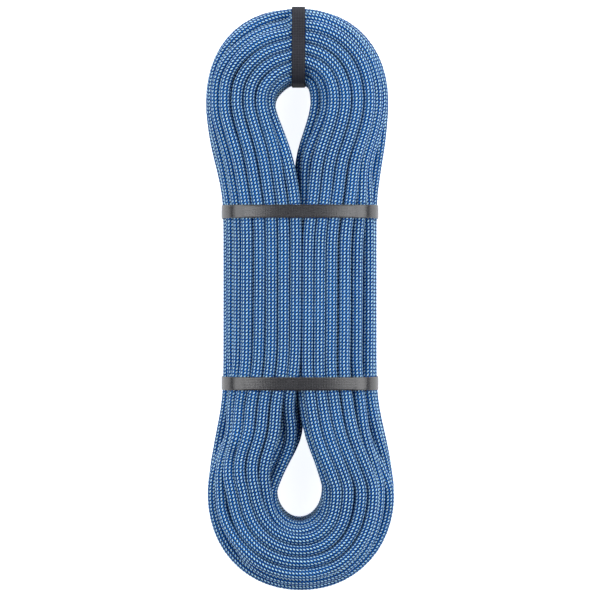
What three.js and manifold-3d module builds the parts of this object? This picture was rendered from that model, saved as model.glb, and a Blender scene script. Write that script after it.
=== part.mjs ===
// A 60 m dynamic climbing rope, 9.8 mm thick, as it leaves the winder: one closed hank, tied by three
// straps.
//
// The hank lies flat with its long axis along Y, its thickness along Z and its underside on z = 0.
// It is wound round two posts, so it is a long ring. Two straps draw its middle together into a waist,
// and a third strap ties the bundle at the top loop. A teardrop opening is left in each loop.
// Both rope ends are tucked under the waist straps: end A in the seam below the middle, and end B low on
// the right side. Each end shows the build of the rope: a braided sheath over parallel core strands,
// with a heat-shrink end mark and a melted tip.
// Units are millimetres, +Z is up, and the origin is at the middle of the underside.

import * as THREE from 'three';
import { mergeVertices } from 'three/addons/utils/BufferGeometryUtils.js';
import Module from 'manifold-3d';

const wasm = await Module();
wasm.setup();

// ---- Driving dimensions ----

const ROPE_R = 4.9;             // half of the rope's diameter
const GAP = 0.3;                // clearance between pieces that touch

const HANK_HEIGHT = 99;         // twelve layers of rope, nested in each other
const STRAP_SINK = 2.6;         // how far the straps press the bundle in, above and below
const WAIST_HALF = 62;          // half of the waist's width
const EDGE_ROUND = 22;          // rounding of the bundle's outer edges
const TROUGH_REACH = 128;       // the waist's sunk stretch ends this far from the middle
const TROUGH_SLOPE = 50;        // and slopes down over this length

// The two loops. y is the middle of the loop's bend, half and reach are the outer half width and how far
// the bend goes past its middle, and power is that of its superellipse. Then comes the opening: its middle
// across the hank, its half width, its rounded end's reach and the place of its pointed tip.
const TOP_LOOP = {
  side: 1, x: -2.3, y: 158.4, half: 74, reach: 77.6, power: 2.2, neckEnd: 78, ease: 1.3,
  hole: { x: -5.2, half: 14.7, reach: 15, tipX: -4.4, tipY: 113 },
};
const BOTTOM_LOOP = {
  side: -1, x: 0.7, y: -155, half: 75.6, reach: 81, power: 2.1, neckEnd: -70, ease: 1.15,
  hole: { x: -0.8, half: 17.2, reach: 21, tipX: 2.6, tipY: -106.5 },
};

const STRAP = 0.9;              // thickness of the woven strap
const STRAP_WIDTH = 10.6;
const STRAP_CORNER = 19;        // radius inside a strap's bend round the bundle
const LAP_HALF = 13;            // half the length of the heat-sealed lap on the underside
const UPPER_STRAP_Y = 70.8;
const LOWER_STRAP_Y = -66.8;
const TOP_STRAP_X = -1.2;

const SHEATH_WALL = 1.05;
const CORE_STRAND_R = 1.05;
const CORE_RING_R = 2.36;       // six core strands lie on this radius round the seventh
const MARK_LENGTH = 24;         // heat-shrink end mark
const MARK_R = 5.3;             // radius inside it
const MARK_WALL = 0.5;
const TIP_LENGTH = 3.6;

// The routes of the two tails, from where each leaves the bundle to the rope's melted end.
const END_A_ROUTE = [[0.4, 92, 7.6], [0.4, 60, 7.6], [0.4, 30, 7.6], [0.4, 0, 7.6], [0.4, -30, 7.6],
  [0.4, -62, 7.6], [0.4, -97, 7.6]];
const END_B_ROUTE = [[61.2, 114, 15.8], [58, 98, 16.2], [56.1, 84, 16.4], [55.6, 70, 16.4],
  [55.6, 46, 16.4], [55.6, 22, 16.4], [55.6, -2, 16.4], [55.6, -26, 16.4], [55.6, -48, 16.4],
  [55.8, -68, 16.4], [57.2, -84, 16.1], [60.9, -102, 15], [65.4, -120, 13.2]];

const BLUE = 0x2f6ba3;
const CORE_WHITE = 0xe9e8e2;
const CHARCOAL = 0x3c3d42;
const MARK_BLACK = 0x17181b;
const TIP_DARK = 0x22364d;

// ---- Helpers ----

const { lerp, smoothstep } = THREE.MathUtils;
const range = (count, make) => Array.from({ length: count }, (_, i) => make(i));

const finish = (color, roughness) => new THREE.MeshStandardMaterial({ color, roughness, metalness: 0 });
const sheathCloth = () => finish(BLUE, 0.75);
const strapCloth = () => finish(CHARCOAL, 0.5);

function piece(name, geometry, material) {
  const mesh = new THREE.Mesh(geometry, material);
  mesh.name = name;
  return mesh;
}

function toManifold(geometry) {
  const bare = geometry.clone();
  bare.deleteAttribute('normal');
  bare.deleteAttribute('uv');
  const merged = mergeVertices(bare, 1e-4);
  return new wasm.Manifold(new wasm.Mesh({
    numProp: 3,
    vertProperties: new Float32Array(merged.attributes.position.array),
    triVerts: new Uint32Array(merged.index.array),
  }));
}

function toGeometry(solid) {
  const mesh = solid.getMesh();
  const geometry = new THREE.BufferGeometry();
  geometry.setAttribute('position', new THREE.BufferAttribute(new Float32Array(mesh.vertProperties), 3));
  geometry.setIndex(new THREE.BufferAttribute(new Uint32Array(mesh.triVerts), 1));
  geometry.computeVertexNormals();
  return geometry;
}

// A shape drawn across a strap is extruded to the strap's width and stood up: its own x and y become
// the row's X and Z for a strap round the waist, and the row's Y and Z for the strap over the top loop.
const axis = (x, y, z) => new THREE.Vector3(x, y, z);
const ROUND_WAIST = new THREE.Matrix4().makeBasis(axis(1, 0, 0), axis(0, 0, 1), axis(0, -1, 0));
const ROUND_LOOP = new THREE.Matrix4().makeBasis(axis(0, 1, 0), axis(0, 0, 1), axis(1, 0, 0));

function stoodUp(shape, width, basis) {
  const settings = { depth: width, bevelEnabled: false, curveSegments: 6 };
  const geometry = new THREE.ExtrudeGeometry(shape, settings);
  geometry.translate(0, 0, -width / 2);
  return geometry.applyMatrix4(basis);
}

// ---- The hank ----

// The cosine or sine of an angle, bent to the power that makes a circle a superellipse.
const bent = (value, power) => Math.sign(value) * Math.abs(value) ** (2 / power);

// The outer outline, once round: over the top bend, down the right side, and up the left side.
function outerOutline() {
  const bend = ({ side, x, y, half, reach, power }) => range(19, (i) => {
    const a = (Math.PI * i) / 18;
    const [across, along] = [half * bent(Math.cos(a), power), reach * bent(Math.sin(a), power)];
    return new THREE.Vector2(x - side * across, y + side * along);
  });
  const neck = (loop, across) => range(6, (i) => {
    const t = (i + 1) / 6;
    const x = lerp(loop.x + across * loop.half, across * WAIST_HALF, smoothstep(t ** loop.ease, 0, 1));
    return new THREE.Vector2(x, lerp(loop.y, loop.neckEnd, t));
  });
  return new THREE.Shape([
    ...bend(TOP_LOOP), ...neck(TOP_LOOP, 1), ...neck(BOTTOM_LOOP, 1).reverse(),
    ...bend(BOTTOM_LOOP), ...neck(BOTTOM_LOOP, -1), ...neck(TOP_LOOP, -1).reverse(),
  ]);
}

// A loop's teardrop opening: half an ellipse at the bend, narrowing to a tip at the waist.
function teardrop({ side, y, hole }) {
  const round = range(13, (i) => {
    const a = (Math.PI * i) / 12;
    return new THREE.Vector2(hole.x + hole.half * Math.cos(a), y + side * hole.reach * Math.sin(a));
  });
  const flank = (across) => range(6, (i) => {
    const t = (i + 1) / 7;
    const width = hole.half * Math.cos((Math.PI / 2) * t) ** 1.2;
    return new THREE.Vector2(lerp(hole.x, hole.tipX, t) + across * width, lerp(y, hole.tipY, t));
  });
  const tip = new THREE.Vector2(hole.tipX, hole.tipY);
  return new THREE.Shape([...round, ...flank(-1), tip, ...flank(1).reverse()]);
}

// What the waist straps press away above or below: a shallow trough across the whole width.
function trough(up) {
  const floor = range(17, (i) => {
    const y = lerp(-TROUGH_REACH, TROUGH_REACH, i / 16);
    return new THREE.Vector2(y, -up * STRAP_SINK * smoothstep(TROUGH_REACH - Math.abs(y), 0, TROUGH_SLOPE));
  });
  const air = [new THREE.Vector2(TROUGH_REACH, 4 * up), new THREE.Vector2(-TROUGH_REACH, 4 * up)];
  const cut = stoodUp(new THREE.Shape([...floor, ...air]), 2 * TOP_LOOP.reach + 40, ROUND_LOOP);
  return toManifold(cut.translate(0, 0, up > 0 ? HANK_HEIGHT : 0));
}

// A rectangle with round corners, walked anticlockwise as a shape or as the hole of one.
function roundRect(Kind, left, right, low, high, r) {
  const path = new Kind();
  path.moveTo(left + r, low);
  path.lineTo(right - r, low);
  path.absarc(right - r, low + r, r, -Math.PI / 2, 0);
  path.lineTo(right, high - r);
  path.absarc(right - r, high - r, r, 0, Math.PI / 2);
  path.lineTo(left + r, high);
  path.absarc(left + r, high - r, r, Math.PI / 2, Math.PI);
  path.lineTo(left, low + r);
  path.absarc(left + r, low + r, r, Math.PI, 1.5 * Math.PI);
  return path;
}

// The room inside each strap, seen along the strap's width: left, right, low and high.
const INSIDE_WAIST = [-WAIST_HALF - GAP, WAIST_HALF + GAP, STRAP_SINK - GAP, HANK_HEIGHT - STRAP_SINK + GAP];
const INSIDE_TOP = [
  TOP_LOOP.y + TOP_LOOP.hole.reach + STRAP, TOP_LOOP.y + TOP_LOOP.reach - STRAP, ...INSIDE_WAIST.slice(2),
];

// The groove that a strap presses into the bundle.
function groove([left, right, low, high], basis, x, y) {
  const around = roundRect(THREE.Shape, left - 6, right + 6, low - 6, high + 6, 2);
  const kept = [left + GAP, right - GAP, low + GAP, high - GAP];
  around.holes.push(roundRect(THREE.Path, ...kept, STRAP_CORNER - GAP));
  return toManifold(stoodUp(around, STRAP_WIDTH + 2 * GAP, basis).translate(x, y, 0));
}

// End A lies in a straight slot that is open below, and end B in a round bed in the hank's right side.
function endSlot() {
  const [x, top, z] = END_A_ROUTE[0];
  const bottom = END_A_ROUTE.at(-1)[1] - TIP_LENGTH;
  const half = MARK_R + MARK_WALL + GAP;
  const section = new THREE.Shape();
  section.moveTo(half, -2);
  section.lineTo(half, z);
  section.absarc(0, z, half, 0, Math.PI);
  section.lineTo(-half, -2);
  const slot = stoodUp(section, top - bottom + 2 * GAP, ROUND_WAIST);
  return toManifold(slot.translate(x, (top + bottom) / 2, 0));
}

function endBed() {
  const route = curve(END_B_ROUTE);
  const start = route.getTangent(0).multiplyScalar(-2 * GAP);
  const past = route.getTangent(1).multiplyScalar(TIP_LENGTH + 2 * GAP);
  const [first, last] = [END_B_ROUTE[0], END_B_ROUTE.at(-1)];
  const longer = [[first[0] + start.x, first[1] + start.y, first[2] + start.z], ...END_B_ROUTE,
    [last[0] + past.x, last[1] + past.y, last[2] + past.z]];
  const along = toManifold(swept([polygon(THREE.Shape, ROPE_R + 2 * GAP, 12)], curve(longer), 24));
  const end = part(curve(longer), 1 - (MARK_LENGTH + 8) / curve(longer).getLength(), 1);
  return along.add(toManifold(swept([polygon(THREE.Shape, MARK_R + MARK_WALL + 2 * GAP, 12)], end, 4)));
}

function ropeHank() {
  const whole = new THREE.ExtrudeGeometry(outerOutline(), {
    depth: HANK_HEIGHT - 2 * EDGE_ROUND, bevelThickness: EDGE_ROUND, bevelSize: EDGE_ROUND,
    bevelOffset: -EDGE_ROUND, bevelSegments: 3,
  });
  let hank = toManifold(whole.translate(0, 0, EDGE_ROUND));
  for (const loop of [TOP_LOOP, BOTTOM_LOOP]) {
    const through = { depth: HANK_HEIGHT + 20, bevelEnabled: false };
    const opening = new THREE.ExtrudeGeometry(teardrop(loop), through).translate(0, 0, -10);
    hank = hank.subtract(toManifold(opening));
  }
  const grooves = [
    groove(INSIDE_WAIST, ROUND_WAIST, 0, UPPER_STRAP_Y),
    groove(INSIDE_WAIST, ROUND_WAIST, 0, LOWER_STRAP_Y),
    groove(INSIDE_TOP, ROUND_LOOP, TOP_STRAP_X, 0),
  ];
  for (const cut of [trough(1), trough(-1), ...grooves, endSlot(), endBed()]) hank = hank.subtract(cut);
  return piece('rope_hank', toGeometry(hank), sheathCloth());
}

// ---- Straps ----

// A strap's closed loop round a section, seen along the strap's width. The lap doubles it underneath.
function strapLoop(left, right, low, high) {
  const middle = (left + right) / 2;
  const around = [left - STRAP, right + STRAP, low - STRAP, high + STRAP];
  const outer = roundRect(THREE.Shape, ...around, STRAP_CORNER + STRAP);
  const lap = new THREE.Shape([[-LAP_HALF, 0.01], [-LAP_HALF, -STRAP], [LAP_HALF, -STRAP], [LAP_HALF, 0.01]]
    .map(([x, z]) => new THREE.Vector2(middle + x, low - STRAP + z)));
  outer.holes.push(roundRect(THREE.Path, left, right, low, high, STRAP_CORNER));
  return { outer, lap };
}

function strap(name, section, basis, x, y) {
  const { outer, lap } = strapLoop(...section);
  const loop = toManifold(stoodUp(outer, STRAP_WIDTH, basis));
  const whole = loop.add(toManifold(stoodUp(lap, STRAP_WIDTH, basis)));
  return piece(name, toGeometry(whole).translate(x, y, 0), strapCloth());
}

function straps() {
  return [
    strap('upper_waist_strap', INSIDE_WAIST, ROUND_WAIST, 0, UPPER_STRAP_Y),
    strap('lower_waist_strap', INSIDE_WAIST, ROUND_WAIST, 0, LOWER_STRAP_Y),
    strap('top_strap', INSIDE_TOP, ROUND_LOOP, TOP_STRAP_X, 0),
  ];
}

// ---- Rope ends ----

function curve(points) {
  return new THREE.CatmullRomCurve3(points.map((p) => new THREE.Vector3(...p)));
}

// The stretch of a path from one share of its length to another.
function part(path, from, to) {
  return new THREE.CatmullRomCurve3(range(9, (i) => path.getPointAt(lerp(from, to, i / 8))));
}

function polygon(Kind, radius, sides, x = 0, y = 0) {
  return new Kind(range(sides, (i) => {
    const a = (2 * Math.PI * (i + 0.5)) / sides;
    return new THREE.Vector2(x + radius * Math.cos(a), y + radius * Math.sin(a));
  }));
}

function swept(shapes, path, steps) {
  return new THREE.ExtrudeGeometry(shapes, { steps, bevelEnabled: false, extrudePath: path });
}

function tube(outerRadius, innerRadius, path, steps) {
  const ring = polygon(THREE.Shape, outerRadius, 12);
  ring.holes.push(polygon(THREE.Path, innerRadius, 12));
  return swept([ring], path, steps);
}

// The melted tip: a low dome that closes the sheath and the core.
function tipDome() {
  const r = ROPE_R - 0.1;
  const profile = [[0, 0], [r, 0], [r, 0.35 * TIP_LENGTH], [0.86 * r, 0.72 * TIP_LENGTH],
    [0.5 * r, 0.94 * TIP_LENGTH], [0, TIP_LENGTH]];
  return new THREE.LatheGeometry(profile.map(([x, y]) => new THREE.Vector2(x, y)), 14);
}

function ropeEnd(name, points, steps) {
  const path = curve(points);
  const strands = range(7, (i) => {
    const a = (Math.PI * i) / 3;
    const [x, y] = i < 6 ? [CORE_RING_R * Math.cos(a), CORE_RING_R * Math.sin(a)] : [0, 0];
    const strand = swept([polygon(THREE.Shape, CORE_STRAND_R, 6, x, y)], path, steps);
    return piece(`${name}_core_strand_${i + 1}`, strand, finish(CORE_WHITE, 0.8));
  });
  const markPath = part(path, 1 - MARK_LENGTH / path.getLength(), 1);
  const mark = tube(MARK_R + MARK_WALL, MARK_R, markPath, 3);
  const tip = piece(`${name}_melted_tip`, tipDome(), finish(TIP_DARK, 0.35));
  const forward = path.getTangent(1);
  tip.position.copy(path.getPoint(1)).addScaledVector(forward, GAP);
  tip.quaternion.setFromUnitVectors(axis(0, 1, 0), forward);
  return [
    piece(`${name}_sheath`, tube(ROPE_R, ROPE_R - SHEATH_WALL, path, steps), sheathCloth()),
    ...strands,
    piece(`${name}_heat_shrink_mark`, mark, finish(MARK_BLACK, 0.4)),
    tip,
  ];
}

// ---- Assembly ----

const rope = new THREE.Group();
rope.add(ropeHank(), ...straps());
rope.add(...ropeEnd('end_a', END_A_ROUTE, 8), ...ropeEnd('end_b', END_B_ROUTE, 12));

export default rope;
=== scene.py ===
"""The looks of a 60 m dynamic climbing rope, wound as one flat hank and tied by three straps.

The hank lies flat, with its long axis along Y. The rope is one continuous braided tube. Its 64 turns
are worked out here, settled against each other, and laid inside the CAD hank. It starts at end A in the
seam below the waist, winds clockwise from the inside out, and ends at end B low on the right side.
Lengths are in metres.
"""

import math

import bpy
import numpy as np
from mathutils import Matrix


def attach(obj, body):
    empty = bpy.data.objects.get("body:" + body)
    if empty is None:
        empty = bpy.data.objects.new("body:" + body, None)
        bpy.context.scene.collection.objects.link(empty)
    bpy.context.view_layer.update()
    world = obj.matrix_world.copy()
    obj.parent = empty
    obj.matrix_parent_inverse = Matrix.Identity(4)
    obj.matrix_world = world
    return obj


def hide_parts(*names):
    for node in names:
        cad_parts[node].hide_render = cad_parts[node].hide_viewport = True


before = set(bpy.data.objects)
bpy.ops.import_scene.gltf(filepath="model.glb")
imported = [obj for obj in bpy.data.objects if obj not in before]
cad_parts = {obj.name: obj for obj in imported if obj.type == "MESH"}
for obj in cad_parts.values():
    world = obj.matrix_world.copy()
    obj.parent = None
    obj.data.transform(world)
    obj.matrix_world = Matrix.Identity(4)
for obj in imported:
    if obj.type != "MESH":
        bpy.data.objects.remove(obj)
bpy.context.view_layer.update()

# ---- Driving dimensions, as in the CAD part, but for the openings and the reach of the bottom loop ----

ROPE_D = 0.0098
HANK_HEIGHT = 0.099
STRAP_SINK = 0.0026           # how far the straps press the bundle in, above and below
WAIST_HALF = 0.062
EDGE_ROUND = 0.022            # rounding of the bundle's outer edges
TROUGH_REACH = 0.128          # the waist's sunk stretch ends this far from the middle
TROUGH_SLOPE = 0.05           # and slopes down over this length

# The two loops. y is the middle of the loop's bend, half and reach are the outer half width and how far
# the bend goes past its middle, and power is that of its superellipse. The outline eases in to the waist,
# which it meets at neck_end: later, the greater the ease. The opening has the same kind of bend, whose
# apex leans over by the skew, and a pointed tip. Each of its sides, left (-1) and right (1), closes
# towards the tip by a cosine to the power of its closing: the greater that is, the sooner.
TOP_LOOP = {
    "side": 1, "x": -0.0023, "y": 0.1584, "half": 0.074, "reach": 0.0776, "power": 2.2,
    "neck_end": 0.078, "ease": 1.3,
    "hole": {"x": -0.0059, "half": 0.0142, "reach": 0.015, "power": 2.3, "skew": 0.004,
             "tip_x": -0.0066, "tip_y": 0.1219, "closing": {-1: 1.25, 1: 0.5}},
}
BOTTOM_LOOP = {
    "side": -1, "x": 0.0007, "y": -0.155, "half": 0.0756, "reach": 0.078, "power": 2.1,
    "neck_end": -0.07, "ease": 1.15,
    "hole": {"x": -0.0005, "half": 0.0182, "reach": 0.0225, "power": 2, "skew": 0.0,
             "tip_x": 0.006, "tip_y": -0.1158, "closing": {-1: 0.5, 1: 1.3}},
}

STRAP = 0.0009                # thickness of the woven straps
STRAP_WIDTH = 0.0106
STRAP_CORNER = 0.019          # radius inside a strap's bend round the bundle
STRAP_GAP = 0.0003            # between a strap and the bundle
LAP_HALF = 0.013              # half the length of the heat-sealed lap on the underside
LAP_LIFT = 0.96 * STRAP       # the lap is melted a little into the tape
UPPER_STRAP_Y = 0.0708
LOWER_STRAP_Y = -0.0668
TOP_STRAP_X = -0.0012
TOP_STRAP_IN = 0.0016         # how far its inner face is within the loop's outline

# The routes of the two tails, the same points as in the CAD part.
END_A_ROUTE = [
    [0.0004, 0.092, 0.0076], [0.0004, 0.06, 0.0076], [0.0004, 0.03, 0.0076], [0.0004, 0, 0.0076],
    [0.0004, -0.03, 0.0076], [0.0004, -0.062, 0.0076], [0.0004, -0.097, 0.0076],
]
END_B_ROUTE = [
    [0.0612, 0.114, 0.0158], [0.058, 0.098, 0.0162], [0.0561, 0.084, 0.0164], [0.0556, 0.07, 0.0164],
    [0.0556, 0.046, 0.0164], [0.0556, 0.022, 0.0164], [0.0556, -0.002, 0.0164],
    [0.0556, -0.026, 0.0164], [0.0556, -0.048, 0.0164], [0.0558, -0.068, 0.0164],
    [0.0572, -0.084, 0.0161], [0.0609, -0.102, 0.015], [0.0654, -0.12, 0.0132],
]

# ---- Winding ----

ROWS = (5, 6, 5, 6, 5, 6, 5, 6, 5, 6, 5, 4)  # strands in each row of one side, from the underside up
BEND_RIBS = 16                # ribs in a quarter of the ring: round half of a loop's bend,
STRAIGHT_RIBS = 32            # and from there to the middle of the waist
RIBS = 4 * (BEND_RIBS + STRAIGHT_RIBS)
WAIST_MIDDLE = (TOP_LOOP["y"] + BOTTOM_LOOP["y"]) / 2
# The seam between the two sides of the waist, from the bottom opening's tip to the top one's.
SEAM_Y = (BOTTOM_LOOP["hole"]["tip_y"], LOWER_STRAP_Y, -0.04, UPPER_STRAP_Y, TOP_LOOP["hole"]["tip_y"])
SEAM_X = (BOTTOM_LOOP["hole"]["tip_x"], -0.0004, 0.0012, 0.0016, TOP_LOOP["hole"]["tip_x"])

# Each turn moves on to the place of the next one. For one stage of the winding after another: how many
# such moves, where on the turn the first and the last of them are, as shares of it from the top
# clockwise, and half the length of a move.
SHIFTS = (
    (10, 0.82, 0.64, 0.034),  # up the inner column
    (8, 0.575, 0.565, 0.06),  # onto the top row, out along it, down off its end, and back in below it
    (1, 0.485, 0.485, 0.034),
    (10, 0.455, 0.45, 0.034), (10, 0.445, 0.44, 0.034),
    (10, 0.43, 0.425, 0.034), (10, 0.42, 0.415, 0.034),
    (4, 0.4, 0.4, 0.034),
)
START = -0.1                  # where the winding begins, in turns, and end A's tail comes in,
END = 63.118                  # and where it ends and end B's tail goes on

# Where a strand lies as at the waist and not as in a loop, left and right of the seam: from and to which y,
# and over what length it changes at either end. For the strands of the inner column, of the two top rows,
# and for all others.
WHOLE_WAIST = (BOTTOM_LOOP["y"], TOP_LOOP["y"], 0.075, 0.075)
AT_WAIST = {
    "inner": ((-0.092, 0.137, 0.026, 0.036), (BOTTOM_LOOP["y"], 0.148, 0.06, 0.045)),
    "top": ((-0.125, TOP_LOOP["y"], 0.065, 0.075), (BOTTOM_LOOP["y"], 0.13, 0.075, 0.07)),
    "other": (WHOLE_WAIST, WHOLE_WAIST),
}
CLOSE_FROM_ROW = 8.5          # below this row the strands are spread evenly over the bundle's width, and
CLOSE_OVER_ROWS = 2           # this many rows up from it they are as close to each other as the next says:
TOP_PITCH = 0.975             # in rope diameters, in a loop,
CLOSER_LEFT = 0.02            # and so much less left
CLOSER_RIGHT = 0.035          # and right of the seam

CROWN = 0.007                 # how much lower the upper face is at the sides of the waist
TIE_SLOPE = 0.014             # the top strap's pull on the bundle fades out over this length beside it,
TIE_END = 1.45                # and is gone at so many such lengths from the strap's middle
STRAP_REACH = 0.0095          # up to this far from its middle, the top strap holds the strands off the
STRAP_SLOPE = 0.004           # opening's edge, and its hold comes on over this length
SEAM_WALL = -0.0001           # the strands' centres may come up to the seam, and this far past it
HOLE_ROUND = 0.003            # rounding of the bundle's edges at an opening, for the strands' centres
HUMP = 0.003                  # how far a strand may rise where it passes over its neighbour,
HUMP_STRETCH = (0.4, 0.62, 0.03, 0.03)  # and on which part of each turn, clockwise from the top
WAVES = (0.7, 1.3, 2.1, 3.4)  # waves per turn in which the strands wander,
WANDER_ACROSS = 0.00016       # and how far they do so for each of them
WANDER_UP = 0.00008

SQUEEZE = 0.95                # strands touch at this share of their diameter
SETTLE_STEPS = 80
PUSH = 0.3                    # in each step, two strands each give way by this share of their overlap,
EVENING = 0.6                 # a strand's moves are evened out along it by this share,
MOVE_KEPT = 0.985             # and it keeps this share of them, so it drifts back where nothing pushes
SEAM_SOFTENING = 14           # how often the strands' lines are smoothed where the two sides meet
LINE_STEP = 0.002             # between the points of the rope's centreline
LINE_SOFTENING = 5            # how often the whole centreline is smoothed

# ---- Rope and braid ----

BRAID_ROW = 0.0028            # one row of the braid along the rope
TILE_ROWS = 6                 # rows in the stretch that the braid's pattern repeats over
PICKS_ROUND = 10              # light picks round the rope
TUBE_SIDES = 14
SHEATH_RADIUS = 0.0048        # of the tube's corners, so that dark gaps stay between the strands
MORE_RINGS = (3.5, 17, 28)    # a tile has one ring, and one more for each of these degrees it turns past
LEAN = math.radians(33)       # how far the picks lean from the rope's axis
LIGHT_PICK = (0.00119, 0.00066)  # half the length and half the width of a light pick,
BLUE_PICK = (0.00133, 0.00079)   # and of a blue one
PICK_END_POWER = 2.6          # how blunt a pick's ends
PICK_SIDE_POWER = 2.2         # and its sides are
FILAMENTS = 21000.0           # the fineness of the filaments in a pick, in radians per metre

# ---- Straps' weave, studio and camera ----

WEAVE_PITCH = 0.0026          # one repeat of the straps' weave
FLOOR_GLOW = 0.9
FLOOR_HALF = 3
FLOOR_DROP = 0.0004           # how far the floor lies below the hank
WALL_GLOW = 0.9               # how bright the studio's walls look,
WALL_LIGHT = 0.02             # and how much they light the hank
CAMERA_HEIGHT = 3.045
CAMERA_LENS = 222


def lerp(a, b, t):
    return a + (b - a) * t


def smooth(t):
    t = np.clip(t, 0, 1)
    return t * t * (3 - 2 * t)


def between(y, low, high, low_slope, high_slope):
    """1 between two places and 0 outside them, with a smooth slope inside each."""
    return smooth((y - low) / low_slope) * smooth((high - y) / high_slope)


def softened(values, times):
    """Numbers or points along a line, each drawn towards its neighbours a number of times."""
    values = values.copy()
    for _ in range(times):
        values[1:-1] = 0.25 * values[:-2] + 0.5 * values[1:-1] + 0.25 * values[2:]
    return values


def lengths_along(points):
    """How far along a line each of its points is."""
    return np.concatenate([[0], np.cumsum(np.linalg.norm(np.diff(points, axis=0), axis=1))])


def directions(points):
    """Which way a line runs at each of its points."""
    tangent = np.gradient(points, axis=0)
    return tangent / np.linalg.norm(tangent, axis=1)[:, None]


def bent(value, power):
    """The cosine or sine of an angle, bent to the power that makes a circle a superellipse."""
    return np.sign(value) * np.abs(value) ** (2 / power)


# ---- Camera ----

def add_camera():
    """Straight down on the hank from far away, with +Y up in the picture."""
    data = bpy.data.cameras.new("camera")
    data.lens = CAMERA_LENS
    data.sensor_width = 36
    data.clip_end = 20
    camera = bpy.data.objects.new("camera", data)
    camera.location = (0, 0, CAMERA_HEIGHT)
    bpy.context.scene.collection.objects.link(camera)
    bpy.context.scene.camera = camera


# ---- Where the strands lie ----

def quarter(loop, across):
    """The inner and outer ends of the ribs from a loop's apex to the middle of the waist, on one side of
    the seam, and whether an opening is beside them."""
    hole = loop["hole"]
    turn = np.radians(90) * (1 - np.arange(BEND_RIBS + 1) / BEND_RIBS)
    inner = [hole["x"] + hole["skew"] * np.sin(turn) ** 2
             + across * hole["half"] * bent(np.cos(turn), hole["power"]),
             loop["y"] + loop["side"] * hole["reach"] * bent(np.sin(turn), hole["power"])]
    outer = [loop["x"] + across * loop["half"] * bent(np.cos(turn), loop["power"]),
             loop["y"] + loop["side"] * loop["reach"] * bent(np.sin(turn), loop["power"])]
    y = np.linspace(loop["y"], WAIST_MIDDLE, STRAIGHT_RIBS + 1)[1:]
    t = np.clip((y - loop["y"]) / (hole["tip_y"] - loop["y"]), 0, 1)
    middle = np.where(t < 1, lerp(hole["x"], hole["tip_x"], t), np.interp(y, SEAM_Y, SEAM_X))
    opening = hole["half"] * np.clip(np.cos(np.pi / 2 * t), 0, 1) ** hole["closing"][across]
    neck = np.clip((y - loop["y"]) / (loop["neck_end"] - loop["y"]), 0, 1) ** loop["ease"]
    edge = lerp(loop["x"] + across * loop["half"], across * WAIST_HALF, smooth(neck))
    inner = np.concatenate([np.stack(inner, 1), np.stack([middle + across * opening, y], 1)])
    outer = np.concatenate([np.stack(outer, 1), np.stack([edge, y], 1)])
    is_open = np.concatenate([np.full(BEND_RIBS + 1, True), t < 1])
    return inner, outer, is_open


def ring():
    """The ribs of the whole ring, clockwise from the top: where they start and end, their width across
    the strands, and whether an opening is beside them."""
    top_right, bottom_right = quarter(TOP_LOOP, 1), quarter(BOTTOM_LOOP, 1)
    bottom_left, top_left = quarter(BOTTOM_LOOP, -1), quarter(TOP_LOOP, -1)
    joined = [np.concatenate([a[:-1], b[:0:-1], c[:-1], d[:0:-1]])
              for a, b, c, d in zip(top_right, bottom_right, bottom_left, top_left)]
    inner, outer, is_open = joined
    rib = outer - inner
    slant = []
    for share in (0.15, 0.5, 0.85):
        line = inner + share * rib
        along = np.roll(line, -1, 0) - np.roll(line, 1, 0)
        cross = np.abs(rib[:, 0] * along[:, 1] - rib[:, 1] * along[:, 0])
        slant.append(cross / np.linalg.norm(along, axis=1))
    return inner, outer, np.mean(slant, axis=0), is_open


def natural(row, column):
    """How many strand widths from the inner wall a strand nests, in the plain stacking of rows."""
    return column + (0.5 if ROWS[row - 1] == 6 else 1.0)


def lane(row, column, zone):
    """A strand's place across the bundle in strand widths, and its row, in a loop or on either side of
    the waist. Left of the seam the inner column is squeezed up by one row, and the top row lies further
    out. Right of it the two top rows close up to the seam, the last strand of row 11 rides up a little,
    and the inner column is pressed down. In a loop row 12 lies further out and row 11 further in."""
    if zone == "left" and column == 0 and row < 12:
        return (0.5 if row == 11 else natural(row + 1, 0)), row + 1
    if zone == "left" and row == 12:
        return column + 1.5, row
    if zone == "right" and row == 12:
        return column + 0.5, row
    if zone == "right" and row == 11:
        return (4.75, 11.3) if column == 4 else (1.02 * column, row)
    if zone == "right" and column == 0:
        return natural(row, 0), 1 + 0.91 * (row - 1)
    if zone == "loop" and row == 12:
        return column + 1.15, row
    if zone == "loop" and row == 11:
        return (0.65 if column == 0 else column + 0.7), row
    return natural(row, column), row


def winding_order():
    """The places of one turn after another: up the inner column, out along the top row, back in along the
    row below it, and then down one column and up the next."""
    order = [(row, 0) for row in range(1, 13)] + [(12, column) for column in (1, 2, 3)]
    order += [(11, column) for column in (4, 3, 2, 1)]
    for column in range(1, 6):
        rows = [row for row, count in enumerate(ROWS[:10], 1) if column < count]
        order += [(row, column) for row in (rows[::-1] if column % 2 else rows)]
    return order


def shifts():
    """When each turn moves on to the place of the next one, in turns from the start, and half the length
    of that move."""
    at, half = [], []
    for count, first, last, half_length in SHIFTS:
        at += list(np.linspace(first, last, count))
        half += [half_length] * count
    return np.arange(len(at)) + at, np.array(half)


def right_ribs():
    """Which ribs are right of the seam: the ring runs down that side first."""
    return np.arange(RIBS) < RIBS // 2


def zone_weights(y):
    """How far each rib is in the waist, left and right of the seam, against in a loop, for each kind of
    strand."""
    right = right_ribs()
    return {kind: (np.where(right, 0, between(y, *left)), np.where(right, between(y, *side), 0))
            for kind, (left, side) in AT_WAIST.items()}


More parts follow.
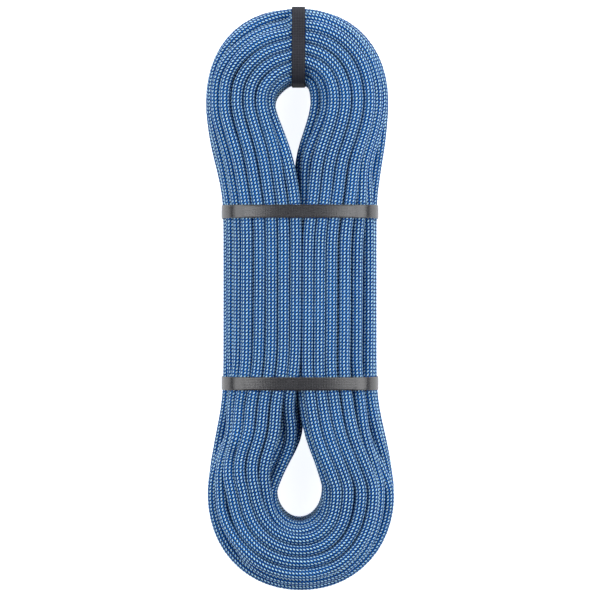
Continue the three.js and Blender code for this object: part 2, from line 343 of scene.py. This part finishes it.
def leaning_out(y):
    """How many strand widths further out the two top rows lie round the bottom bend, and beside the tips
    of the openings, where the other side's strands come over the inner column."""
    right = right_ribs()
    beside_top_tip = 0.78 * between(y, 0.05, 0.205, 0.05, 0.035)
    above_bottom_tip = 0.25 * between(y, -0.108, -0.05, 0.022, 0.025)
    beside_bottom_tip = 1.25 * between(y, -0.156, -0.062, 0.034, 0.027)
    at_bottom = 0.3 * smooth((-0.157 - y) / 0.02)
    return np.where(right, beside_top_tip + above_bottom_tip, beside_bottom_tip) + at_bottom


def crown(x):
    """How much lower the hank's upper face is at x than along its middle."""
    return CROWN * np.abs(x / WAIST_HALF) ** 3


def levels(x, y):
    """The lowest and highest z of the bundle at a point, and how much the top strap pulls it in there,
    from 0 to 1."""
    waist = smooth((TROUGH_REACH - np.abs(y)) / TROUGH_SLOPE)
    tied = smooth(TIE_END - np.abs(x - TOP_STRAP_X) / TIE_SLOPE) * (y > TOP_LOOP["y"])
    sunk = STRAP_SINK * np.maximum(waist, tied)
    return sunk, HANK_HEIGHT - sunk - crown(x), tied


def on_ribs(inner, outer, share):
    """The x and y of points at shares of the ribs."""
    return lerp(inner[:, 0], outer[:, 0], share), lerp(inner[:, 1], outer[:, 1], share)


def place_strands(inner, outer, width):
    """Every place of the winding order at every rib: across the bundle and up."""
    order = winding_order()
    zones = zone_weights(inner[:, 1])
    even_pitch = (width - ROPE_D) / 5
    across = np.zeros((len(order), RIBS))
    up = np.zeros((len(order), RIBS))
    for k, (row, column) in enumerate(order):
        kind = "inner" if column == 0 and row < 12 else "top" if row > 10 else "other"
        left, right = zones[kind]
        lanes = [lane(row, column, zone) for zone in ("loop", "left", "right")]
        weights = (1 - left - right, left, right)
        lane_at = sum(w * place[0] for w, place in zip(weights, lanes))
        row_at = sum(w * place[1] for w, place in zip(weights, lanes))
        if row > 10:
            lane_at = lane_at + leaning_out(inner[:, 1])
        close_pitch = ROPE_D * (TOP_PITCH - CLOSER_LEFT * left - CLOSER_RIGHT * right)
        closeness = np.clip((row - CLOSE_FROM_ROW) / CLOSE_OVER_ROWS, 0, 1)
        pitch = lerp(even_pitch, np.minimum(even_pitch, close_pitch), closeness)
        across[k] = ROPE_D / 2 + (lane_at - 0.5) * pitch
        low, high, _ = levels(*on_ribs(inner, outer, across[k] / width))
        up[k] = low + ROPE_D / 2 + (row_at - 1) * (high - low - ROPE_D) / (len(ROWS) - 1)
    return across, up


def keep_inside(across, up, walls):
    """Strand centres kept within the bundle's outline, with its rounded edges."""
    inner_wall, outer_wall, low, high, inner_round = walls
    across = np.clip(across, inner_wall, outer_wall)
    up = np.clip(up, low, high)
    for side, wall, r in ((1, outer_wall, EDGE_ROUND - ROPE_D / 2), (-1, inner_wall, inner_round)):
        for sign, level in ((1, high), (-1, low)):
            dx = side * (across - wall) + r
            dz = sign * (up - level) + r
            far = np.hypot(dx, dz)
            outside = (dx > 0) & (dz > 0) & (far > r)
            pull = np.where(outside, r / np.maximum(far, 1e-9), 1)
            across = np.where(outside, wall + side * (dx * pull - r), across)
            up = np.where(outside, level + sign * (dz * pull - r), up)
    return across, up


def settle(across, up, there, walls):
    """Pushes strands that lie in each other apart, keeps each of them smooth, and holds them within the
    bundle's outline. Rows of the arrays are turns, and columns are ribs."""
    first, last = np.flatnonzero(there)[[0, -1]]
    moved = [np.zeros_like(across), np.zeros_like(up)]
    touch = ROPE_D * SQUEEZE
    for _ in range(SETTLE_STEPS):
        now_across, now_up = across + moved[0], up + moved[1]
        for shift in range(1, len(across)):
            da = now_across[shift:] - now_across[:-shift]
            du = now_up[shift:] - now_up[:-shift]
            near = (np.abs(da) < touch) & (np.abs(du) < touch) & there[shift:] & there[:-shift]
            if not near.any():
                continue
            far = np.maximum(np.hypot(da, du), 1e-5)
            push = np.where(near & (far < touch), PUSH * (touch - far) / far, 0)
            for move, d in ((moved[0], da), (moved[1], du)):
                move[shift:] += push * d
                move[:-shift] -= push * d
        for move in moved:
            line = move.reshape(-1)[first:last + 1]
            padded = np.pad(line, 2, mode="edge")
            even = (padded[:-4] + 4 * padded[1:-3] + 6 * line + 4 * padded[3:-1] + padded[4:]) / 16
            line += EVENING * (even - line)
            move *= MOVE_KEPT
        kept_across, kept_up = keep_inside(across + moved[0], up + moved[1], walls)
        moved = [kept_across - across, kept_up - up]
    return across + moved[0], up + moved[1]


def wandering(across, up, turn):
    """Strands that wander a little from their places, in waves whose length changes along the rope."""
    rng = np.random.default_rng(7)
    for waves in WAVES:
        across_phase, up_phase = rng.uniform(0, 2 * np.pi, 2)
        angle = 2 * np.pi * waves * turn
        across = across + WANDER_ACROSS * np.sin(angle + across_phase + 5 * np.sin(turn * 2.4))
        up = up + WANDER_UP * np.sin(angle + up_phase + 5 * np.sin(turn * 1.7))
    return across, up


def walls_round(across, inner, outer, width, is_open):
    """The walls that hold the strands' centres in: an opening's edge, the top strap's tape or the seam,
    the outer edge, the lower and the upper face, and how round the bundle's edge is at an opening."""
    low, high, tied = levels(*on_ribs(inner, outer, across / width))
    hump = HUMP * between(np.arange(RIBS) / RIBS, *HUMP_STRETCH)
    hole_top = TOP_LOOP["y"] + TOP_LOOP["hole"]["reach"]
    by_strap = smooth((STRAP_REACH - np.abs(inner[:, 0] - TOP_STRAP_X)) / STRAP_SLOPE)
    by_strap = by_strap * (inner[:, 1] > TOP_LOOP["y"])
    inner_wall = np.where(is_open, ROPE_D / 2 + (STRAP + hole_top - inner[:, 1]) * by_strap, SEAM_WALL)
    outer_wall = width - ROPE_D / 2 - TOP_STRAP_IN * tied
    inner_round = lerp(HOLE_ROUND * is_open, STRAP_CORNER - STRAP_GAP - ROPE_D / 2, tied)
    return inner_wall, outer_wall, low + ROPE_D / 2, high + hump - ROPE_D / 2, inner_round


def wound_line():
    """The rope's centreline, from end A to end B."""
    inner, outer, width, is_open = ring()
    place_across, place_up = place_strands(inner, outer, width)
    times, halves = shifts()
    count = math.ceil(END) + 1
    turn = (np.arange(count * RIBS) / RIBS - 1).reshape(count, RIBS)
    there = (turn >= START) & (turn <= END)
    nearest = np.abs(turn[..., None] - times).argmin(-1)
    share = smooth((turn - times[nearest]) / (2 * halves[nearest]) + 0.5)
    rib = np.broadcast_to(np.arange(RIBS), turn.shape)
    across = lerp(place_across[nearest, rib], place_across[nearest + 1, rib], share)
    up = lerp(place_up[nearest, rib], place_up[nearest + 1, rib], share)
    across, up = wandering(across, up, turn)
    across, up = settle(across, up, there, walls_round(across, inner, outer, width, is_open))

    x, y = on_ribs(inner, outer, across / width)
    wound = np.stack([x, y, up], -1)[there]
    straight = between(wound[:, 1], BOTTOM_LOOP["y"], TOP_LOOP["y"], 0.02, 0.02)
    wound[:, 0] = lerp(wound[:, 0], softened(wound[:, 0], SEAM_SOFTENING), straight)
    return even_line(np.concatenate([END_A_ROUTE[::-1], wound, END_B_ROUTE]))


def points_at(places, along, line):
    """The points of a line at some places along it."""
    return np.stack([np.interp(places, along, line[:, k]) for k in range(3)], 1)


def even_line(points):
    """The line through the points again, with points a step apart and its corners smoothed away."""
    along = lengths_along(points)
    places = np.linspace(0, along[-1], round(along[-1] / LINE_STEP) + 1)
    return softened(points_at(places, along, points), LINE_SOFTENING)


# ---- The rope's mesh ----

def ring_places(line):
    """How far along the line the tube's rings are, and each ring's share of its tile of the braid.
    Tight bends get more rings, and every tile starts at a ring."""
    along = lengths_along(line)
    tiles = round(along[-1] / (BRAID_ROW * TILE_ROWS))
    ends = np.linspace(0, along[-1], tiles + 1)
    turning = lengths_along(directions(line))
    turned = np.degrees(np.diff(np.interp(ends, along, turning)))
    rings = 1 + sum((turned > bend).astype(int) for bend in MORE_RINGS)
    places = np.concatenate([ends[i] + (ends[i + 1] - ends[i]) * np.arange(n) / n
                             for i, n in enumerate(rings)] + [ends[-1:]])
    share = np.concatenate([np.arange(n) / n for n in rings])
    length = np.concatenate([np.full(n, 1 / n) for n in rings])
    return along, places, share, length


def carried_frames(centres):
    """Two directions across the tube at each ring, carried along it without twist."""
    tangent = directions(centres)
    side = np.zeros_like(centres)
    previous = np.array([0.0, 0.0, 1.0])
    for i, forward in enumerate(tangent):
        previous = previous - forward * (previous @ forward)
        previous = previous / np.linalg.norm(previous)
        side[i] = previous
    return side, np.cross(tangent, side)


def add_rope(line):
    """The braided tube along the line, with its UV layer: along a tile of the braid, and round the rope."""
    along, places, share, length = ring_places(line)
    centres = points_at(places, along, line)
    side, other = carried_frames(centres)
    angle = 2 * np.pi * np.arange(TUBE_SIDES) / TUBE_SIDES
    cos, sin = np.cos(angle)[None, :, None], np.sin(angle)[None, :, None]
    points = centres[:, None] + SHEATH_RADIUS * (cos * side[:, None] + sin * other[:, None])

    ring_at = np.arange(len(places) - 1)[:, None] * TUBE_SIDES
    corner = np.arange(TUBE_SIDES)[None, :]
    following = (corner + 1) % TUBE_SIDES
    quads = np.stack([ring_at + corner, ring_at + following,
                      ring_at + TUBE_SIDES + following, ring_at + TUBE_SIDES + corner], -1).reshape(-1, 4)
    last = (len(places) - 1) * TUBE_SIDES
    caps = [list(range(TUBE_SIDES))[::-1], list(range(last, last + TUBE_SIDES))]
    mesh = bpy.data.meshes.new("braided_rope")
    mesh.from_pydata(points.reshape(-1, 3).tolist(), [], quads.tolist() + caps)

    u0 = np.broadcast_to(share[:, None], (len(share), TUBE_SIDES))
    u1 = u0 + length[:, None]
    v0 = np.broadcast_to(corner / TUBE_SIDES, u0.shape)
    v1 = v0 + 1 / TUBE_SIDES
    uv = np.stack([u0, v0, u0, v1, u1, v1, u1, v0], -1).reshape(-1, 2)
    layer = mesh.uv_layers.new(name="OFBake")
    cap_uv = np.full((2 * TUBE_SIDES, 2), 0.01)  # the caps, inside the melted tips, have one plain colour
    layer.data.foreach_set("uv", np.concatenate([uv, cap_uv]).astype(np.float32).ravel())
    mesh.shade_smooth()
    rope = bpy.data.objects.new("braided_rope", mesh)
    bpy.context.scene.collection.objects.link(rope)
    return rope, centres


# ---- Straps ----

def round_rect(left, right, low, high, radius):
    """The points of a rectangle with round corners, from the middle of its low side anticlockwise."""
    middle = (left + right) / 2
    corner_steps = 16
    straight_step = 0.003
    points = []

    def straight(start, end):
        steps = max(2, round(math.dist(start, end) / straight_step))
        for i in range(steps):
            points.append([lerp(start[0], end[0], i / steps), lerp(start[1], end[1], i / steps)])

    def corner(x, z, begin):
        for i in range(corner_steps):
            a = begin + math.pi / 2 * i / corner_steps
            points.append([x + radius * math.cos(a), z + radius * math.sin(a)])

    straight((middle, low), (right - radius, low))
    corner(right - radius, low + radius, -math.pi / 2)
    straight((right, low + radius), (right, high - radius))
    corner(right - radius, high - radius, 0)
    straight((right - radius, high), (left + radius, high))
    corner(left + radius, high - radius, math.pi / 2)
    straight((left, high - radius), (left, low + radius))
    corner(left + radius, low + radius, math.pi)
    straight((left + radius, low), (middle, low))
    return np.array(points)


def tape_section():
    """A tape's cross-section, across its width and through its thickness, with soft edges."""
    half, r = STRAP_WIDTH / 2, STRAP / 2
    edge_steps, face_steps = 6, 8
    angles = [math.pi * i / edge_steps for i in range(edge_steps + 1)]
    right = [(half - r + r * math.sin(a), r - r * math.cos(a)) for a in angles]
    inside = [(lerp(half - r, -half + r, i / face_steps), STRAP) for i in range(1, face_steps)]
    left = [(-x, STRAP - z) for x, z in right]
    outside = [(-x, 0.0) for x, _ in inside]
    return np.array(right + inside + left + outside)


def lofted(name, rings, closed):
    """A mesh through rings of points, closed on itself or capped at both ends."""
    count, around = rings.shape[:2]
    spans = count if closed else count - 1
    faces = []
    for i in range(spans):
        a, b = i * around, ((i + 1) % count) * around
        faces += [[a + j, b + j, b + (j + 1) % around, a + (j + 1) % around] for j in range(around)]
    if not closed:
        faces += [list(range(around)), list(range((count - 1) * around, count * around))[::-1]]
    mesh = bpy.data.meshes.new(name)
    mesh.from_pydata(rings.reshape(-1, 3).tolist(), [], faces)
    mesh.shade_smooth()
    piece = bpy.data.objects.new(name, mesh)
    bpy.context.scene.collection.objects.link(piece)
    return piece


def add_tape(name, points, outward, lift, to_space, closed):
    """A tape along a route. Its mesh keeps how far along and across the tape each point is, for the
    weave."""
    section = tape_section()
    flat = points[:, None] + (section[None, :, 1:] + lift) * outward[:, None]
    across = np.broadcast_to(section[None, :, 0], flat.shape[:2])
    piece = lofted(name, to_space(flat[..., 0], flat[..., 1], across), closed)
    along = np.broadcast_to(lengths_along(points)[:, None], across.shape)
    places = np.stack([along, across, np.zeros_like(across)], -1)
    weave = piece.data.attributes.new("weave", "FLOAT_VECTOR", "POINT")
    weave.data.foreach_set("vector", places.astype(np.float32).ravel())
    return piece


def add_strap(node, inside, to_space, bow=lambda x: 0 * x):
    """A strap's closed loop, with its heat-sealed lap on the underside. inside is the space in it, and
    bow says how much lower the upper side runs."""
    left, right, low, high = inside
    points = round_rect(*inside, STRAP_CORNER)
    points[:, 1] -= bow(points[:, 0]) * (points[:, 1] - low) / (high - low)
    along = np.roll(points, -1, 0) - np.roll(points, 1, 0)
    outward = np.stack([along[:, 1], -along[:, 0]], 1) / np.linalg.norm(along, axis=1)[:, None]
    loop = add_tape(node + "_tape", points, outward, 0, to_space, closed=True)
    middle = (left + right) / 2
    lap_at = np.linspace(middle - LAP_HALF, middle + LAP_HALF, 9)
    lap_points = np.stack([lap_at, np.full_like(lap_at, low)], 1)
    lap_out = np.broadcast_to([0, -1], lap_points.shape)
    lap = add_tape(node + "_lap", lap_points, lap_out, LAP_LIFT, to_space, closed=False)
    for piece in (loop, lap):
        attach(piece, "root")
    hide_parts(node)
    return [loop, lap]


def round_waist(y):
    """Places a strap round the waist: its loop lies in x and z, and its width along y."""
    return lambda x, z, across: np.stack([x, y + across, z], -1)


def round_loop(x):
    """Places a strap round the bundle of a loop: its loop lies in y and z, and its width along x."""
    return lambda y, z, across: np.stack([x + across, y, z], -1)


def add_straps():
    low = STRAP_SINK - STRAP_GAP
    high = HANK_HEIGHT - low
    waist = [-WAIST_HALF - STRAP_GAP, WAIST_HALF + STRAP_GAP, low, high]
    hole_edge = TOP_LOOP["y"] + TOP_LOOP["hole"]["reach"] + STRAP
    top = [hole_edge, TOP_LOOP["y"] + TOP_LOOP["reach"] - TOP_STRAP_IN, low, high]
    return (add_strap("upper_waist_strap", waist, round_waist(UPPER_STRAP_Y), crown)
            + add_strap("lower_waist_strap", waist, round_waist(LOWER_STRAP_Y), crown)
            + add_strap("top_strap", top, round_loop(TOP_STRAP_X)))


# ---- Materials ----

class Nodes:
    """A material's node tree, with short ways to add to it."""

    def __init__(self, name):
        self.material = bpy.data.materials.new(name)
        self.material.use_nodes = True
        self.tree = self.material.node_tree
        self.shader = self.tree.nodes["Principled BSDF"]

    def add(self, kind, **settings):
        node = self.tree.nodes.new(kind)
        for name, value in settings.items():
            setattr(node, name, value)
        return node

    def link(self, source, target):
        if isinstance(source, (int, float, tuple)):
            target.default_value = source
        else:
            self.tree.links.new(source, target)

    def math(self, operation, *values):
        node = self.add("ShaderNodeMath", operation=operation)
        for value, socket in zip(values, node.inputs):
            self.link(value, socket)
        return node.outputs[0]

    def mix(self, share, a, b):
        node = self.add("ShaderNodeMix", data_type="RGBA")
        for value, socket in zip((share, a, b), (node.inputs[0], node.inputs[6], node.inputs[7])):
            self.link(value, socket)
        return node.outputs[2]

    def ramp(self, value, low, high):
        """0 below low and 1 above high, smoothly between them, or the other way round."""
        node = self.add("ShaderNodeMapRange", interpolation_type="SMOOTHSTEP")
        for number, socket in zip((value, low, high), node.inputs):
            self.link(number, socket)
        return node.outputs[0]

    def noise(self, scale, detail):
        node = self.add("ShaderNodeTexNoise")
        node.inputs["Scale"].default_value = scale
        node.inputs["Detail"].default_value = detail
        self.link(self.add("ShaderNodeTexCoord").outputs["Object"], node.inputs["Vector"])
        return node.outputs["Fac"]

    def bump(self, height, distance, strength):
        node = self.add("ShaderNodeBump")
        node.inputs["Strength"].default_value = strength
        node.inputs["Distance"].default_value = distance
        self.link(height, node.inputs["Height"])
        self.link(node.outputs[0], self.shader.inputs["Normal"])

    def set(self, **values):
        for name, value in values.items():
            self.link(value, self.shader.inputs[name.replace("_", " ")])
        return self.material


def grey(value):
    return (value, value, value, 1.0)


def pick(nodes, row, column, row_offset, column_offset, lean, half_long, half_wide):
    """How far a point is from the middle of the nearest pick of one family, 1 at the pick's edge, and the
    place across the pick. Rows and columns are counted in picks of that family."""
    def from_middle(value, offset, size):
        whole = nodes.math("FRACT", nodes.math("ADD", value, offset))
        return nodes.math("MULTIPLY", nodes.math("SUBTRACT", whole, 0.5), size)

    y = from_middle(row, row_offset, BRAID_ROW)
    x = from_middle(column, column_offset, math.pi * ROPE_D / PICKS_ROUND)
    cos, sin = math.cos(lean), math.sin(lean)
    long = nodes.math("ADD", nodes.math("MULTIPLY", y, cos), nodes.math("MULTIPLY", x, sin))
    wide = nodes.math("SUBTRACT", nodes.math("MULTIPLY", x, cos), nodes.math("MULTIPLY", y, sin))
    long_share = nodes.math("ABSOLUTE", nodes.math("DIVIDE", long, half_long))
    wide_share = nodes.math("ABSOLUTE", nodes.math("DIVIDE", wide, half_wide))
    distance = nodes.math("ADD", nodes.math("POWER", long_share, PICK_END_POWER),
                          nodes.math("POWER", wide_share, PICK_SIDE_POWER))
    return distance, wide


def braid_material():
    """A braided sheath: light picks that lean one way, blue picks that lean the other, and navy
    painted shade in the gaps between them."""
    nodes = Nodes("braided_sheath")
    uv = nodes.add("ShaderNodeUVMap", uv_map="OFBake")
    split = nodes.add("ShaderNodeSeparateXYZ")
    nodes.link(uv.outputs[0], split.inputs[0])
    row = nodes.math("MULTIPLY", split.outputs[0], float(TILE_ROWS))
    column = nodes.math("MULTIPLY", split.outputs[1], float(PICKS_ROUND))
    light, light_wide = pick(nodes, row, column, 0.5, 0.5, LEAN, *LIGHT_PICK)
    blue, blue_wide = pick(nodes, row, column, 0.0, 0.0, -LEAN, *BLUE_PICK)
    light_mask = nodes.ramp(light, 1.2, 0.45)
    blue_mask = nodes.ramp(blue, 1.3, 0.5)

    tone = nodes.noise(26, 2)
    fine = nodes.noise(900, 1)
    # painted shade: a dark navy fills the gaps between the picks, where the braid lies in shade
    painted_gap_shade = nodes.mix(tone, (0.0009, 0.0045, 0.023, 1), (0.0016, 0.0075, 0.036, 1))
    mid = nodes.mix(nodes.ramp(tone, 0.35, 0.65), (0.0032, 0.069, 0.315, 1), (0.006, 0.104, 0.42, 1))
    pale = nodes.mix(nodes.ramp(fine, 0.35, 0.65), (0.34, 0.65, 1.0, 1), (0.53, 0.82, 1.0, 1))
    colour = nodes.mix(light_mask, nodes.mix(blue_mask, painted_gap_shade, mid), pale)
    wide = nodes.math("ADD", light_wide, blue_wide)
    filaments = nodes.math("SINE", nodes.math("MULTIPLY", wide, FILAMENTS))
    picks = nodes.math("MAXIMUM", light_mask, nodes.math("MULTIPLY", blue_mask, 0.85))
    height = nodes.math("ADD", picks, nodes.math("MULTIPLY", filaments, 0.05))
    nodes.bump(height, 0.00022, 0.8)
    return nodes.set(Base_Color=colour, Roughness=0.6, Sheen_Weight=0.02, Sheen_Roughness=0.4,
                     Sheen_Tint=(0.5, 0.75, 1.0, 1), Specular_IOR_Level=0.08)


def tape_material(name, gloss, roughness, relief, painted_sheen_lightening):
    """Woven charcoal tape with a satin face: a fine crossed weave, firmer at both edges, with a grain."""
    nodes = Nodes(name)
    place = nodes.add("ShaderNodeAttribute", attribute_name="weave")
    split = nodes.add("ShaderNodeSeparateXYZ")
    nodes.link(place.outputs["Vector"], split.inputs[0])
    along, across = split.outputs[0], split.outputs[1]
    turn = 2 * math.pi / WEAVE_PITCH
    one_way = nodes.math("SINE", nodes.math("MULTIPLY", nodes.math("ADD", along, across), turn))
    other_way = nodes.math("SINE", nodes.math("MULTIPLY", nodes.math("SUBTRACT", along, across), turn))
    weave = nodes.ramp(nodes.math("MULTIPLY", one_way, other_way), -0.6, 0.6)
    edge = nodes.ramp(nodes.math("ABSOLUTE", across), STRAP_WIDTH * 0.40, STRAP_WIDTH * 0.45)
    grain = nodes.noise(1800, 2)
    tone = nodes.noise(70, 2)
    height = nodes.math("ADD", weave, nodes.math("MULTIPLY", grain, 0.1))
    height = nodes.math("ADD", height, nodes.math("MULTIPLY", edge, 0.6))
    # above 1 this factor lightens the charcoal: painted sheen, a lighter copy of the same tape
    charcoal = [tuple(painted_sheen_lightening * value for value in shade) + (1.0,)
                for shade in ((0.0105, 0.011, 0.0145), (0.015, 0.0155, 0.02),
                              (0.022, 0.0225, 0.028), (0.034, 0.0345, 0.042))]
    dark = nodes.mix(nodes.ramp(tone, 0.35, 0.65), charcoal[0], charcoal[1])
    pale = nodes.mix(nodes.ramp(grain, 0.35, 0.65), charcoal[2], charcoal[3])
    nodes.bump(height, relief, 0.6)
    rough = nodes.math("ADD", roughness, nodes.math("MULTIPLY", grain, 0.12))
    return nodes.set(Base_Color=nodes.mix(weave, dark, pale), Roughness=rough, Specular_IOR_Level=gloss)


def core_material():
    """Twisted white yarn."""
    nodes = Nodes("core_yarn")
    fine = nodes.noise(1500, 2)
    colour = nodes.mix(fine, (0.74, 0.73, 0.69, 1), (0.88, 0.87, 0.84, 1))
    nodes.bump(fine, 0.0001, 0.6)
    return nodes.set(Base_Color=colour, Roughness=0.8, Sheen_Weight=0.2)


def mark_material():
    """Heat-shrink sleeve, matt black, with the faint unevenness of what it has shrunk on."""
    nodes = Nodes("heat_shrink")
    fine = nodes.noise(500, 2)
    colour = nodes.mix(fine, grey(0.010), grey(0.018))
    nodes.bump(fine, 0.0001, 0.5)
    rough = nodes.math("ADD", 0.36, nodes.math("MULTIPLY", fine, 0.2))
    return nodes.set(Base_Color=colour, Roughness=rough)


def tip_material():
    """Melted sheath and core: dark, glossy and lumpy."""
    nodes = Nodes("melted_rope")
    lumps = nodes.noise(700, 3)
    colour = nodes.mix(nodes.ramp(lumps, 0.35, 0.7), (0.006, 0.018, 0.05, 1), (0.03, 0.07, 0.15, 1))
    nodes.bump(lumps, 0.0003, 0.6)
    return nodes.set(Base_Color=colour, Roughness=0.3)


def floor_material():
    """Pale paper that glows, so that the picture's background is nearly white."""
    nodes = Nodes("pale_floor")
    colour = nodes.mix(nodes.noise(3, 2), grey(0.80), grey(0.82))
    return nodes.set(Base_Color=colour, Roughness=0.9, Emission_Color=grey(1.0),
                     Emission_Strength=FLOOR_GLOW)


def paint(thing, material):
    thing.data.materials.clear()
    thing.data.materials.append(material)


def paint_cad_nodes():
    """Materials for the CAD nodes that stay: the core strands, end marks and melted tips."""
    for kind, material in (("core_strand", core_material()), ("heat_shrink_mark", mark_material()),
                           ("melted_tip", tip_material())):
        for name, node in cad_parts.items():
            if kind in name:
                paint(node, material)


# ---- Floor and light ----

def add_floor():
    mesh = bpy.data.meshes.new("floor")
    corners = [(x * FLOOR_HALF, y * FLOOR_HALF, -FLOOR_DROP) for x, y in ((-1, -1), (1, -1), (1, 1), (-1, 1))]
    mesh.from_pydata(corners, [], [(0, 1, 2, 3)])
    floor = bpy.data.objects.new("floor", mesh)
    bpy.context.scene.collection.objects.link(floor)
    paint(floor, floor_material())


def add_softbox(name, place, size, watts):
    """A square of soft light that faces the middle of the hank's underside."""
    data = bpy.data.lights.new(name, "AREA")
    data.size = size
    data.energy = watts
    light = bpy.data.objects.new(name, data)
    light.location = place
    towards = -light.location
    light.rotation_euler = towards.to_track_quat("-Z", "Y").to_euler()
    bpy.context.scene.collection.objects.link(light)


def add_light():
    add_softbox("softbox_left", (-1.22, 0.2, 1.05), 1.3, 15.3)
    add_softbox("softbox_right", (1.22, 0.2, 1.05), 1.3, 17.2)
    add_softbox("softbox_top", (0.1, 1.4, 0.55), 0.7, 7)
    add_softbox("softbox_bottom", (0, -1.3, 0.9), 0.7, 1.4)
    add_softbox("overhead_left", (-0.7, 0.1, 2.1), 0.53, 5.2)
    add_softbox("overhead_right", (0.65, 0.1, 2.1), 0.63, 5.8)
    bpy.context.scene.view_settings.view_transform = "Standard"


def add_studio():
    """The walls of the studio, far away: they look pale, and give the hank a little light."""
    world = bpy.data.worlds.new("studio")
    world.use_nodes = True
    tree = world.node_tree
    background = tree.nodes["Background"]
    background.inputs["Color"].default_value = (0.95, 0.97, 1.0, 1.0)
    path = tree.nodes.new("ShaderNodeLightPath")
    strength = tree.nodes.new("ShaderNodeMapRange")
    strength.inputs["To Min"].default_value = WALL_LIGHT
    strength.inputs["To Max"].default_value = WALL_GLOW
    tree.links.new(path.outputs["Is Camera Ray"], strength.inputs["Value"])
    tree.links.new(strength.outputs[0], background.inputs["Strength"])
    bpy.context.scene.world = world


# ---- The scene ----

add_camera()
rope, centreline = add_rope(wound_line())
paint(rope, braid_material())
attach(rope, "root")
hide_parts("rope_hank", "end_a_sheath", "end_b_sheath")
satin_tape = tape_material("satin_tape", 0.85, 0.19, 0.00004, 1.0)
# The top strap's tape is the same charcoal made 1.7 times lighter: painted sheen in place of its gloss.
matt_tape_painted_sheen = tape_material("matt_tape_painted_sheen", 0.12, 0.7, 0.00008, 1.7)
for strap in add_straps():
    paint(strap, matt_tape_painted_sheen if strap.name.startswith("top") else satin_tape)
paint_cad_nodes()
add_floor()
add_light()
add_studio()
